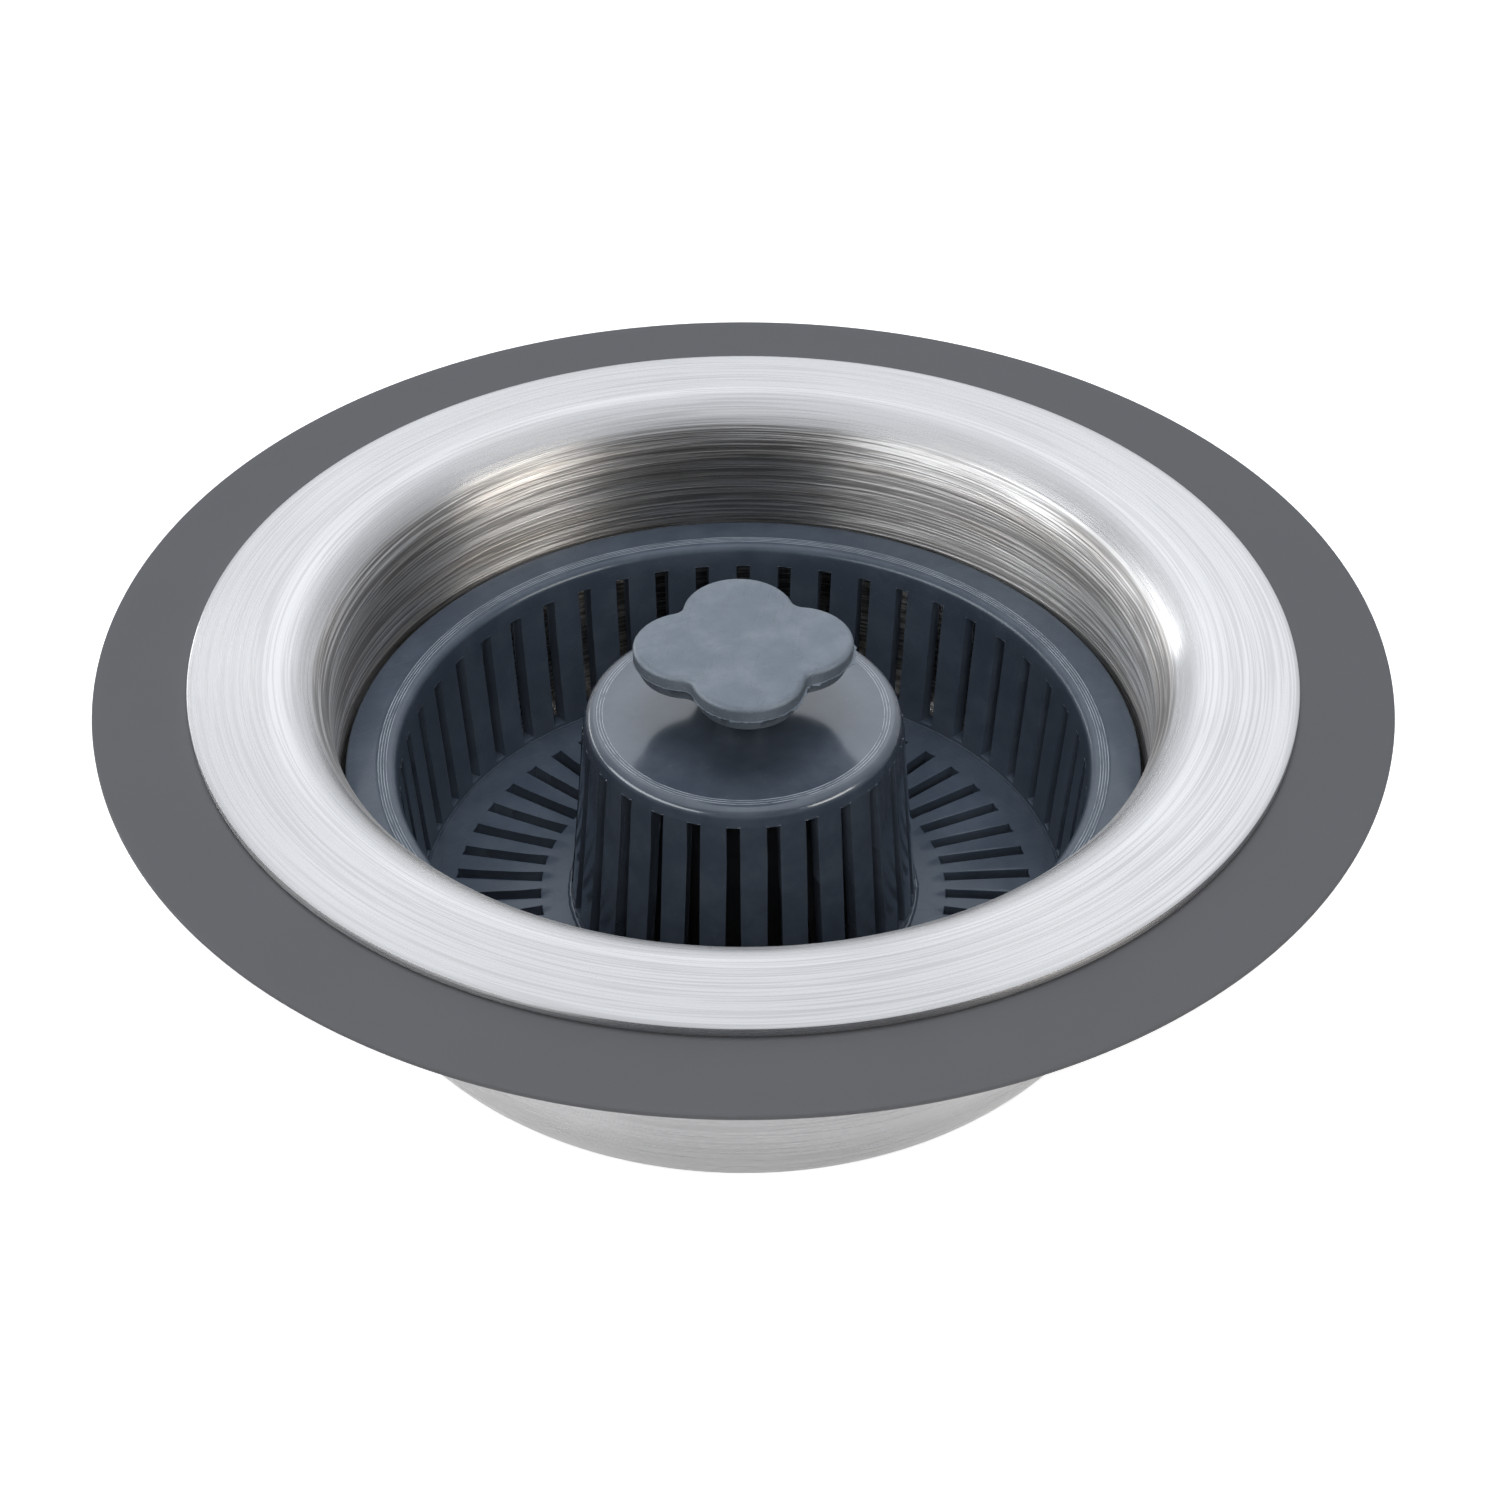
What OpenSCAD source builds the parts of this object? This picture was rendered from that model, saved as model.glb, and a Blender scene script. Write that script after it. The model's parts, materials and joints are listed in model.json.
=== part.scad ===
// Pop-up kitchen sink strainer: a steel cup that hangs in the drain by its
// flange, a lift-out slotted basket, and a click core that raises the stopper.
// Millimetres. The axis is Z, and z = 0 is the foot of the outlet collar.

/* [Steel cup] */
// Width of the flange, from where the roll ends out to its edge
flange_w = 6.7; // [4.5:0.1:10]
// Height of the flange's top edge above the foot of the outlet collar
flange_h = 41.35; // [40:0.05:44]
// Fall of the flange towards its edge, in degrees
flange_fall = 4; // [1:0.5:7]
// Thickness of the steel sheet
sheet_t = 0.9; // [0.6:0.1:1.1]
// Inner radius of the cup's straight wall
throat_r = 36.8; // [35.5:0.1:39]
// Radius of the roll from the flange into the throat
roll_r = 5.5; // [4:0.25:7]
// Outer radius of the corner at the cup's floor
corner_r = 9; // [7:0.5:11]
// Distance from the collar's foot up to the underside of the cup's floor
collar_h = 8.2; // [7.6:0.1:9]
// Radius of the outlet through the collar
outlet_r = 20.6; // [18:0.2:21]
// Radius of the bend from the cup's floor into the collar
collar_bend_r = 2; // [1.4:0.1:2.6]

/* [Flange gasket] */
// How far the gasket reaches past the flange's edge
gasket_lip = 8.25; // [6:0.25:11]
// Thickness of the gasket
gasket_t = 0.5; // [0.4:0.1:1.6]
// Radial slack between the gasket and the roll inside it
gasket_slack = 0.5; // [0.2:0.1:1]

/* [Basket bowl] */
// Gap between the basket's rim and the cup's wall
rim_gap = 0.7; // [0.4:0.1:1.6]
// Thickness of the rim at its outer edge
rim_t = 2; // [1.4:0.1:3]
// Depth of the bowl, from the rim's top to the top of its floor
bowl_depth = 16.9; // [15:0.1:17.2]
// Distance from the rim's outer edge in to the foot of the bowl's wall
wall_inset = 5.9; // [5.4:0.1:6.6]
// Thickness of the bowl's wall and floor
bowl_t = 1.5; // [1.2:0.1:2]
// Draft of the bowl's wall, in degrees
bowl_draft = 4.2; // [2:0.2:6]
// Radius of the rim's inner edge
rim_round = 0.8; // [0.4:0.1:1.2]
// Number of slots round the wall
wall_slots = 48; // [36:2:54]
// Width of a wall slot
wall_slot_w = 1.3; // [0.9:0.05:1.6]
// Distance from the rim's top down to the wall slots
wall_slot_drop = 2.1; // [2:0.1:4]
// Band of plain wall under the wall slots
wall_slot_foot = 0.5; // [0.4:0.1:2]
// Number of slots in the floor
floor_slots = 50; // [36:2:54]
// Width of a floor slot
floor_slot_w = 1.25; // [0.9:0.05:1.4]
// Radius at which the floor slots begin
floor_slot_in = 19.1; // [18.4:0.1:20.5]
// Radius at which the floor slots end
floor_slot_out = 27.2; // [25:0.1:28.4]

/* [Centre dome] */
// Outer radius of the dome at its foot
dome_foot_r = 16.2; // [15.8:0.1:17]
// Outer radius of the dome at its shoulder
dome_top_r = 14.4; // [14:0.1:15.4]
// Height of the dome's shoulder above the bowl's floor
dome_h = 20.9; // [19:0.1:23]
// Radius of the dome's shoulder
dome_round = 1; // [0.6:0.1:1.4]
// Rise of the dome's top from the shoulder to the knob's stem
dome_rise = 0.5; // [0.2:0.1:0.8]
// Thickness of the dome's wall
dome_t = 1.4; // [1.1:0.1:1.8]
// Number of slots round the dome
dome_slots = 26; // [18:2:30]
// Width of a dome slot at its top
dome_slot_top_w = 1.15; // [0.9:0.05:1.4]
// Width of a dome slot at its foot
dome_slot_foot_w = 1.6; // [1:0.05:1.8]
// Depth of the dome slots' tops below the shoulder
dome_slot_drop = 1.6; // [1.4:0.1:3]
// Band of plain wall under the dome slots
dome_slot_foot = 0.7; // [0.5:0.1:2]
// Turn of the dome's slots about the axis, in degrees
dome_turn = -3.5; // [-13:0.5:13]

/* [Pull knob] */
// Radius of each of the knob's four lobes
lobe_r = 5.05; // [4.4:0.05:5.6]
// Distance from the axis to the centre of a lobe
lobe_reach = 4.8; // [4.2:0.05:5.4]
// Thickness of the knob
knob_t = 2.8; // [2.2:0.1:3.2]
// Gap for the fingers between the dome's top and the knob
knob_gap = 4.55; // [4.2:0.05:6]
// Radius of the knob's upper edge
knob_round = 0.5; // [0.2:0.05:0.7]
// Distance from the knob's top down to its parting line
knob_parting = 1.45; // [1:0.05:1.8]
// How far the knob draws in below the parting line
knob_draw = 0.55; // [0.2:0.05:0.8]
// Radius of the stem under the knob
stem_r = 2.6; // [2.2:0.1:3.4]
// Radius of the stem's spigot in the dome
spigot_r = 2; // [1.5:0.1:2.1]
// Turn of the knob about the axis, in degrees
knob_turn = 5; // [-45:1:45]

/* [Stopper] */
// Outer radius of the stopper's disc
disc_r = 27.4; // [26.6:0.1:28]
// Thickness of the stopper's disc
disc_t = 1.2; // [1:0.1:1.4]
// Inner radius of the sleeve over the core
sleeve_r = 9; // [8.8:0.1:9.6]
// Thickness of the sleeve's wall
sleeve_t = 1.4; // [1:0.1:1.8]
// Thickness of the sleeve's top
cap_t = 2.2; // [2:0.1:2.6]
// Number of ribs round the sleeve
hat_ribs = 6; // [4:1:10]
// Thickness of a sleeve rib
hat_rib_t = 1.2; // [0.8:0.1:1.6]
// Height of the seal between the disc and the cup's floor
seal_h = 1.1; // [0.9:0.1:1.6]
// Inner radius of the seal
seal_r = 22.9; // [22.8:0.1:23.6]
// Thickness of the seal's lip
seal_lip_t = 0.6; // [0.4:0.05:0.7]
// Width of the seal's held foot
seal_foot_w = 2.2; // [1.8:0.1:2.6]

/* [Click core] */
// Rise of the stopper from closed to open
core_stroke = 8; // [6:0.25:8.5]
// Outer radius of the core's barrel
barrel_r = 8.2; // [7.8:0.1:8.4]
// Radius of the core's bore
core_bore_r = 6; // [5.7:0.1:6.3]
// Further travel of the plunger that trips the latch
over_travel = 2; // [1.6:0.1:2.6]
// Outer radius of the threaded stub
stub_r = 6; // [5.6:0.1:6.4]
// Radius of the bore in the stub
stub_bore_r = 4.6; // [4.4:0.05:4.8]
// Length of the stub below the spider's top
stub_len = 5.2; // [4.9:0.1:5.6]
// Radius of the plunger's rod
rod_r = 3.95; // [3.6:0.05:4.1]
// Number of grooves along the core's bore
grooves = 4; // [3:1:5]
// Width of the ribs between the grooves
guide_w = 1.6; // [1:0.1:2]
// Inward height of the ribs between the grooves
guide_h = 0.95; // [0.7:0.05:1.1]
// Height of the plunger's crown
crown_h = 2.4; // [2:0.1:3]
// Height of the rotor's teeth
rotor_h = 2.2; // [1.8:0.1:2.6]
// Length of the rotor's spigot in the spring
rotor_spigot = 1.2; // [0.8:0.1:1.6]
// Mean radius of the spring
spring_r = 3.8; // [3.6:0.05:4]
// Diameter of the spring's wire
wire_d = 0.6; // [0.4:0.05:0.7]
// Thickness of the shoulders in the core's bore
seat_t = 0.9; // [0.7:0.1:1.1]
// Turns of the spring
spring_turns = 6; // [4:1:8]

/* [Spider, nut and screw] */
// Thickness of the spider across the outlet
spider_t = 1.2; // [1:0.1:1.6]
// Width of the spider's ring
spider_ring_w = 1.2; // [0.8:0.1:2]
// Width of a spoke
spoke_w = 2.4; // [1.6:0.1:3.2]
// Number of spokes
spokes = 4; // [3:1:4]
// Radius of the spider's hub
hub_r = 9; // [8.6:0.1:9.6]
// Thickness of the washer
washer_t = 0.6; // [0.4:0.1:0.8]
// Thickness of the nut
nut_t = 2.4; // [2:0.1:2.6]
// Width of the nut across its flats
nut_flats = 16; // [15:0.5:18]
// Radius of the screw's head
screw_head_r = 2.6; // [2.2:0.1:3]
// Height of the screw's head
screw_head_h = 1.2; // [0.8:0.1:1.4]
// Radius of the screw's shank
screw_r = 1.25; // [1:0.05:1.5]
// Length of the screw's shank
screw_len = 7; // [5:0.25:8]

/* [Fits] */
// Gap between faces that close on each other
rest_gap = 0.1; // [0.05:0.05:0.3]
// Radial clearance of a running or located fit
fit = 0.05; // [0.03:0.01:0.1]
// Gap round parts that slide past each other without touching
slide_gap = 0.2; // [0.15:0.05:0.3]

/* [Hidden] */
$fn = 96;
eps = 0.5;
steel = [0.82, 0.82, 0.83];
silicone = [0.40, 0.40, 0.42];
plastic = [0.24, 0.27, 0.32];
pale_plastic = [0.45, 0.49, 0.54];
black = [0.10, 0.10, 0.11];
brass = [0.72, 0.58, 0.33];

// Heights of the cup's faces
wall_r = throat_r + sheet_t;
floor_top = collar_h + sheet_t;
roll_x = throat_r + roll_r;
flange_r = roll_x + flange_w;
gasket_r = flange_r + gasket_lip;
slab_len = (flange_r - roll_x - roll_r * sin(flange_fall)) / cos(flange_fall);
roll_z = flange_h + slab_len * sin(flange_fall) - roll_r * cos(flange_fall);
edge_base = flange_h - sheet_t * cos(flange_fall);
gasket_top = edge_base - rest_gap;
bend_x = outlet_r + collar_bend_r;
bend_z = floor_top - collar_bend_r;
roll_back_r = roll_r - sheet_t;
gasket_in_r = roll_x - sqrt(pow(roll_back_r, 2) - pow(gasket_top - roll_z, 2)) + gasket_slack;

// Heights of the stopper's disc and the basket's faces
disc_base = floor_top + rest_gap + seal_h;
disc_top = disc_base + disc_t;
bowl_base = disc_top + rest_gap;
bowl_floor = bowl_base + bowl_t;
rim_top = bowl_floor + bowl_depth;
rim_r = throat_r - rim_gap;
bowl_foot_r = rim_r - wall_inset;
bowl_lean = tan(bowl_draft);
slot_top_z = rim_top - wall_slot_drop;
dome_shoulder = bowl_floor + dome_h;
dome_peak = dome_shoulder + dome_rise;
dome_under = dome_shoulder - dome_t;
dome_in_r = dome_foot_r - dome_t;
spigot_seat_r = dome_in_r + 0.65 * dome_t;
dome_lean = (dome_foot_r - dome_top_r) / (dome_shoulder - bowl_floor);
knob_base = dome_peak + knob_gap;
knob_top = knob_base + knob_t;

// Heights of the stopper's cap and the core
cap_top = dome_under - 2 * slide_gap;
cap_base = cap_top - cap_t;
seal_keep_t = seal_h / 3;
spider_top = bend_z - rest_gap;
spider_base = spider_top - spider_t;
gland_cap = 1;
gland_plug = 1.2;
barrel_top = cap_base - over_travel - gland_cap;
barrel_len = barrel_top - spider_top;
gland_base = barrel_top - gland_plug;
o_ring_r = 0.5;
groove_h = 2 * (o_ring_r + fit);
groove_r = rod_r + groove_h + fit;
crown_top = gland_base - core_stroke - slide_gap;
crown_base = crown_top - crown_h;
rotor_top = crown_base - rest_gap;
rotor_base = rotor_top - rotor_h;
stub_base = spider_top - stub_len;
spring_seat = stub_base + seat_t;
tooth_r = core_bore_r - slide_gap;
core_in_r = core_bore_r - guide_h - slide_gap;
rib_base = rotor_top + rest_gap;
tooth_turn = 180 / grooves;
tooth_w = 2 * core_bore_r * sin(90 / grooves) - guide_w;
pin_r = 0.4 * rod_r;

// A quarter of a ring in the plane of a profile
module bend(r_in, r_out, sx, sy) {
    intersection() {
        difference() {
            circle(r_out);
            if (r_in > 0) circle(r_in);
        }
        translate([sx > 0 ? 0 : -r_out, sy > 0 ? 0 : -r_out]) square(r_out);
    }
}

// The sheet's section from the flange's edge to the collar's foot
module cup_section() {
    translate([roll_x, roll_z]) {
        difference() {
            circle(roll_r);
            circle(roll_back_r);
            rotate(-flange_fall) translate([0, -2 * roll_r]) square([2 * roll_r, 4 * roll_r]);
            translate([-2 * roll_r, -2 * roll_r]) square([4 * roll_r, 2 * roll_r]);
        }
        rotate(-flange_fall) translate([0, roll_back_r]) square([slab_len, sheet_t]);
    }
    translate([throat_r, collar_h + corner_r]) square([sheet_t, roll_z - collar_h - corner_r]);
    translate([wall_r - corner_r, collar_h + corner_r]) bend(corner_r - sheet_t, corner_r, 1, -1);
    translate([bend_x, collar_h]) square([wall_r - corner_r - bend_x, sheet_t]);
    translate([bend_x, bend_z]) bend(collar_bend_r - sheet_t, collar_bend_r, -1, 1);
    translate([outlet_r, 0]) square([sheet_t, bend_z]);
}

module cup_shell() {
    color(steel) rotate_extrude() cup_section();
}

module flange_gasket() {
    color(silicone) translate([0, 0, gasket_top - gasket_t]) difference() {
        cylinder(r = gasket_r, h = gasket_t);
        translate([0, 0, -eps]) cylinder(r = gasket_in_r, h = gasket_t + 2 * eps);
    }
}

// Four spokes carry the core in the middle of the outlet
module outlet_spider() {
    color(steel) translate([0, 0, spider_base]) difference() {
        union() {
            difference() {
                cylinder(r = outlet_r - fit, h = spider_t);
                translate([0, 0, -eps]) cylinder(r = outlet_r - spider_ring_w, h = spider_t + 2 * eps);
            }
            cylinder(r = hub_r, h = spider_t);
            for (i = [0 : spokes - 1])
                rotate(180 / spokes + i * 360 / spokes)
                    translate([0, -spoke_w / 2, 0])
                        cube([outlet_r - spider_ring_w / 2, spoke_w, spider_t]);
        }
        translate([0, 0, -eps]) cylinder(r = stub_r + fit, h = spider_t + 2 * eps);
    }
}

// The barrel's bore has ribs, and the rotor's teeth rise in the grooves between
module core_barrel() {
    color(brass) {
        difference() {
            union() {
                translate([0, 0, spider_top]) cylinder(r = barrel_r, h = barrel_len);
                translate([0, 0, stub_base]) cylinder(r = stub_r, h = stub_len + eps);
            }
            translate([0, 0, spider_top + seat_t]) cylinder(r = core_bore_r, h = barrel_len);
            translate([0, 0, spring_seat]) cylinder(r = stub_bore_r, h = barrel_len);
        }
        for (i = [0 : grooves - 1])
            rotate(i * 360 / grooves) intersection() {
                translate([core_bore_r - guide_h, -guide_w / 2, rib_base])
                    cube([barrel_r - core_bore_r + guide_h, guide_w, gland_base - rib_base]);
                difference() {
                    cylinder(r = (barrel_r + core_bore_r) / 2, h = gland_base);
                    cylinder(r = core_bore_r - guide_h, h = gland_base);
                }
            }
    }
}

// The gland closes the barrel, guides the rod and holds the ring that wipes it
module core_gland() {
    color(plastic) rotate_extrude() difference() {
        union() {
            translate([rod_r + fit, gland_base])
                square([core_bore_r - rod_r - 2 * fit, gland_plug + gland_cap]);
            translate([rod_r + fit, barrel_top]) square([barrel_r - rod_r - fit, gland_cap]);
        }
        translate([rod_r - eps, barrel_top - groove_h / 2]) square([groove_r - rod_r + eps, groove_h]);
    }
}

module core_o_ring() {
    color(black) rotate_extrude()
        translate([rod_r + o_ring_r + 2 * fit, barrel_top]) circle(o_ring_r);
}

module core_washer() {
    color(steel) translate([0, 0, spider_base - washer_t]) difference() {
        cylinder(r = hub_r - fit, h = washer_t);
        translate([0, 0, -eps]) cylinder(r = stub_r + fit, h = washer_t + 2 * eps);
    }
}

module core_nut() {
    color(brass) translate([0, 0, spider_base - washer_t - nut_t]) difference() {
        cylinder(r = nut_flats / 2 / cos(30), h = nut_t, $fn = 6);
        translate([0, 0, -eps]) cylinder(r = stub_r + fit, h = nut_t + 2 * eps);
    }
}

// Spring wire swept along its helix, from the stub's seat to the rotor
wire_sides = 6;
coil_steps = 12;
coil_len = rotor_base - spring_seat - 2 * rest_gap - wire_d;
coil_rings = spring_turns * coil_steps;
coil_lead = atan(coil_len / (spring_turns * 2 * PI * spring_r));
coil_gap = coil_len / spring_turns - wire_d;
echo("gap between the spring's turns", coil_gap);

function coil_point(i, j) =
    let (a = i * 360 / coil_steps, b = j * 360 / wire_sides, w = wire_d / 2,
        out = w * cos(b), up = w * sin(b) * cos(coil_lead), along = -w * sin(b) * sin(coil_lead))
    [(spring_r + out) * cos(a) - along * sin(a),
        (spring_r + out) * sin(a) + along * cos(a),
        spring_seat + rest_gap + wire_d / 2 + coil_len * i / coil_rings + up];

module core_spring() {
    pts = [for (i = [0 : coil_rings], j = [0 : wire_sides - 1]) coil_point(i, j)];
    skin = [for (i = [0 : coil_rings - 1], j = [0 : wire_sides - 1], half = [0, 1])
        let (k = (j + 1) % wire_sides, a = i * wire_sides, b = a + wire_sides)
        half == 0 ? [a + j, b + j, a + k] : [a + k, b + j, b + k]];
    ends = [for (j = [1 : wire_sides - 2], half = [0, 1])
        let (e = coil_rings * wire_sides)
        half == 0 ? [0, j, j + 1] : [e, e + j + 1, e + j]];
    color(steel) polyhedron(pts, concat(skin, ends));
}

// A hub with one tooth to each groove
module toothed(h) {
    cylinder(r = core_in_r, h = h);
    for (i = [0 : grooves - 1])
        rotate(tooth_turn + i * 360 / grooves) intersection() {
            translate([0, -tooth_w / 3, 0]) cube([core_bore_r, 2 * tooth_w / 3, h]);
            cylinder(r = tooth_r, h = h);
        }
}

module core_rotor() {
    color(brass) difference() {
        union() {
            translate([0, 0, rotor_base]) toothed(rotor_h);
            translate([0, 0, rotor_base - rotor_spigot])
                cylinder(r = spring_r - wire_d / 2 - slide_gap, h = rotor_spigot + eps);
        }
        translate([0, 0, rotor_base - rotor_spigot - eps])
            cylinder(r = pin_r + fit, h = rotor_h + rotor_spigot + 2 * eps);
    }
}

module core_plunger() {
    color(plastic) difference() {
        union() {
            translate([0, 0, crown_top]) cylinder(r = rod_r, h = cap_base - crown_top);
            translate([0, 0, crown_base]) toothed(crown_h);
            translate([0, 0, rotor_base - rotor_spigot])
                cylinder(r = pin_r, h = crown_base - rotor_base + rotor_spigot + eps);
        }
        translate([0, 0, cap_top - screw_head_h - screw_len - slide_gap])
            cylinder(r = screw_r + fit, h = screw_len + slide_gap);
    }
}

// Disc, sleeve over the core and ribs that centre the dome
module stopper_hat() {
    color(black) difference() {
        union() {
            rotate_extrude() {
                translate([sleeve_r, disc_base]) square([disc_r - sleeve_r, disc_t]);
                translate([sleeve_r, disc_base]) square([sleeve_t, cap_top - disc_base]);
                translate([0, cap_base]) square([sleeve_r + eps, cap_t]);
                translate([disc_r - seal_keep_t, disc_base - seal_keep_t])
                    square([seal_keep_t, seal_keep_t + disc_t]);
                translate([seal_r - fit - seal_keep_t, disc_base - seal_keep_t])
                    square([seal_keep_t, seal_keep_t + disc_t]);
            }
            for (i = [0 : hat_ribs - 1])
                rotate(i * 360 / hat_ribs) rotate([90, 0, 0])
                    translate([0, 0, -hat_rib_t / 2]) linear_extrude(hat_rib_t) polygon([
                        [sleeve_r + sleeve_t / 2, disc_top - disc_t / 2],
                        [dome_in_r - slide_gap, disc_top - disc_t / 2],
                        [dome_in_r - slide_gap, disc_top + disc_t],
                        [sleeve_r + sleeve_t / 2, cap_base]]);
        }
        translate([0, 0, cap_base - eps]) cylinder(r = screw_r + fit, h = cap_t + 2 * eps);
        translate([0, 0, cap_top - screw_head_h - fit])
            cylinder(r = screw_head_r + fit, h = screw_head_h + eps);
    }
}

// The seal's foot sits under the disc and its lip flares to the cup's floor
module stopper_seal() {
    lip_r = disc_r - seal_keep_t - fit - slide_gap;
    color(silicone) rotate_extrude() polygon([
        [seal_r, disc_base],
        [seal_r + seal_foot_w, disc_base],
        [lip_r, disc_base - seal_h + seal_lip_t],
        [lip_r, disc_base - seal_h],
        [seal_r + seal_foot_w / 2, disc_base - seal_h + seal_lip_t / 2],
        [seal_r, disc_base - 2 * seal_keep_t]]);
}

module hat_screw() {
    color(steel) difference() {
        union() {
            translate([0, 0, cap_top - screw_head_h]) cylinder(r = screw_head_r, h = screw_head_h);
            translate([0, 0, cap_top - screw_head_h - screw_len])
                cylinder(r = screw_r, h = screw_len + eps);
        }
        for (a = [0, 90])
            rotate(a) translate([-0.6 * screw_head_r, -0.1 * screw_head_r, cap_top - screw_head_h / 2])
                cube([1.2 * screw_head_r, 0.2 * screw_head_r, screw_head_h]);
    }
}

// Inner and outer radius of the bowl's wall at a height
function bowl_in(z) = bowl_foot_r + (z - bowl_floor) * bowl_lean;
function bowl_out(z) = bowl_in(z) + bowl_t / cos(bowl_draft);

module basket_bowl() {
    wall_under = rim_top - rim_t;
    color(plastic) difference() {
        rotate_extrude() {
            polygon([
                [spigot_seat_r + fit, bowl_base], [bowl_out(bowl_base) - bowl_t / 2, bowl_base],
                [bowl_out(bowl_base + bowl_t / 2), bowl_base + bowl_t / 2],
                [bowl_out(wall_under), wall_under], [rim_r, wall_under], [rim_r, rim_top],
                [bowl_in(rim_top) + rim_round, rim_top],
                [bowl_in(rim_top) + rim_round, rim_top - rim_round],
                [bowl_in(rim_top - rim_round), rim_top - rim_round],
                [bowl_in(bowl_floor), bowl_floor], [spigot_seat_r + fit, bowl_floor]]);
            translate([bowl_in(rim_top) + rim_round, rim_top - rim_round])
                bend(0, rim_round, -1, 1);
        }
        for (i = [0 : wall_slots - 1])
            rotate(90 + i * 360 / wall_slots)
                translate([floor_slot_out + bowl_t, -wall_slot_w / 2, bowl_floor + wall_slot_foot])
                    cube([rim_r - floor_slot_out, wall_slot_w, slot_top_z - bowl_floor - wall_slot_foot]);
        for (i = [0 : floor_slots - 1])
            rotate(90 + i * 360 / floor_slots)
                translate([floor_slot_in, -floor_slot_w / 2, bowl_base - eps])
                    cube([floor_slot_out - floor_slot_in, floor_slot_w, bowl_t + 2 * eps]);
    }
}

// The dome covers the core and lets water in through its own slots
module centre_dome() {
    color(plastic) difference() {
        rotate_extrude() difference() {
            union() {
                polygon([
                    [0, bowl_floor], [dome_foot_r, bowl_floor],
                    [dome_top_r + dome_lean * dome_round, dome_shoulder - dome_round],
                    [dome_top_r - dome_round, dome_shoulder - dome_round],
                    [dome_top_r - dome_round, dome_shoulder], [stem_r, dome_peak], [0, dome_peak]]);
                translate([dome_top_r - dome_round, dome_shoulder - dome_round])
                    bend(0, dome_round, 1, 1);
                translate([0, bowl_base]) square([spigot_seat_r, bowl_t + eps]);
            }
            polygon([
                [0, bowl_base - eps], [dome_in_r, bowl_base - eps], [dome_in_r, bowl_floor],
                [dome_top_r - dome_t, dome_under], [0, dome_under]]);
        }
        for (i = [0 : dome_slots - 1])
            rotate(-90 + dome_turn + i * 360 / dome_slots) rotate([90, 0, 90])
                translate([0, 0, dome_top_r - 2 * dome_t])
                    linear_extrude(dome_foot_r - dome_top_r + 3 * dome_t) polygon([
                        [-dome_slot_foot_w / 2, bowl_floor + dome_slot_foot],
                        [dome_slot_foot_w / 2, bowl_floor + dome_slot_foot],
                        [dome_slot_top_w / 2, dome_shoulder - dome_slot_drop],
                        [-dome_slot_top_w / 2, dome_shoulder - dome_slot_drop]]);
        translate([0, 0, dome_under - eps]) cylinder(r = spigot_r + fit, h = dome_t + dome_rise + 2 * eps);
    }
}

// One lobe of the knob, rounded above its parting line and drawn in below it
module knob_lobe() {
    rotate_extrude() {
        polygon([
            [0, knob_base], [lobe_r - knob_draw, knob_base], [lobe_r, knob_top - knob_parting],
            [lobe_r, knob_top - knob_round], [lobe_r - knob_round, knob_top - knob_round],
            [lobe_r - knob_round, knob_top], [0, knob_top]]);
        translate([lobe_r - knob_round, knob_top - knob_round]) bend(0, knob_round, 1, 1);
    }
}

module pull_knob() {
    color(pale_plastic) rotate(knob_turn) {
        for (i = [0 : 3]) rotate(i * 90) translate([lobe_reach, 0, 0]) knob_lobe();
        translate([0, 0, knob_base]) cylinder(r = lobe_reach, h = knob_t);
        translate([0, 0, dome_peak]) cylinder(r = stem_r, h = knob_base - dome_peak + eps);
        translate([0, 0, dome_under]) cylinder(r = spigot_r, h = knob_base - dome_under);
    }
}

cup_shell();
flange_gasket();
outlet_spider();
core_barrel();
core_gland();
core_o_ring();
core_washer();
core_nut();
core_spring();
core_rotor();
core_plunger();
stopper_hat();
stopper_seal();
hat_screw();
basket_bowl();
centre_dome();
pull_knob();
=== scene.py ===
"""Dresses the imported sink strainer: steel cup, sheet gasket, slotted basket, dome, knob and click core.

Sizes are in millimetres in the classes, and in metres in the meshes. The axis is Z.
"""

import json
import logging
import math
from dataclasses import dataclass
from enum import Enum
from typing import Any, Callable, Sequence, Union

import bmesh
import bpy
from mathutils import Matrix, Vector

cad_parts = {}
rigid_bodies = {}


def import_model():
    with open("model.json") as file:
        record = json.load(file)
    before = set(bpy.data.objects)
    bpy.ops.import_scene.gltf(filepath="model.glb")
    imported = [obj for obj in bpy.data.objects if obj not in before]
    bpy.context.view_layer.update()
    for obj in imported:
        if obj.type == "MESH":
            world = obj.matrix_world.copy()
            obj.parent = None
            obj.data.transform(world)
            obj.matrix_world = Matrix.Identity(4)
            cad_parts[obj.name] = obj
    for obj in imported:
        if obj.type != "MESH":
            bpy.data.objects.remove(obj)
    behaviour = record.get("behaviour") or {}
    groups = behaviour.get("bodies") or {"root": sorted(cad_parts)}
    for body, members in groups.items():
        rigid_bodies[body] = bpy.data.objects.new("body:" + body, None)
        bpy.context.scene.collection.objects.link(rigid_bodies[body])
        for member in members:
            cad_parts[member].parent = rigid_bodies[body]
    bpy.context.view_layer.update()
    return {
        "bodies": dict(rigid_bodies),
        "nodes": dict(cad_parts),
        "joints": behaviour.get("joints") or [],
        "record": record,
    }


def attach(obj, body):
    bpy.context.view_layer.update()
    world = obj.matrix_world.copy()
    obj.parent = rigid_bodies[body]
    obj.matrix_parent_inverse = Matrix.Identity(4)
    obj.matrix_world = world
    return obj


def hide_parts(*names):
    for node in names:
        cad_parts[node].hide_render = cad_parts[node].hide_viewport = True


log = logging.getLogger("sink_strainer")

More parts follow.
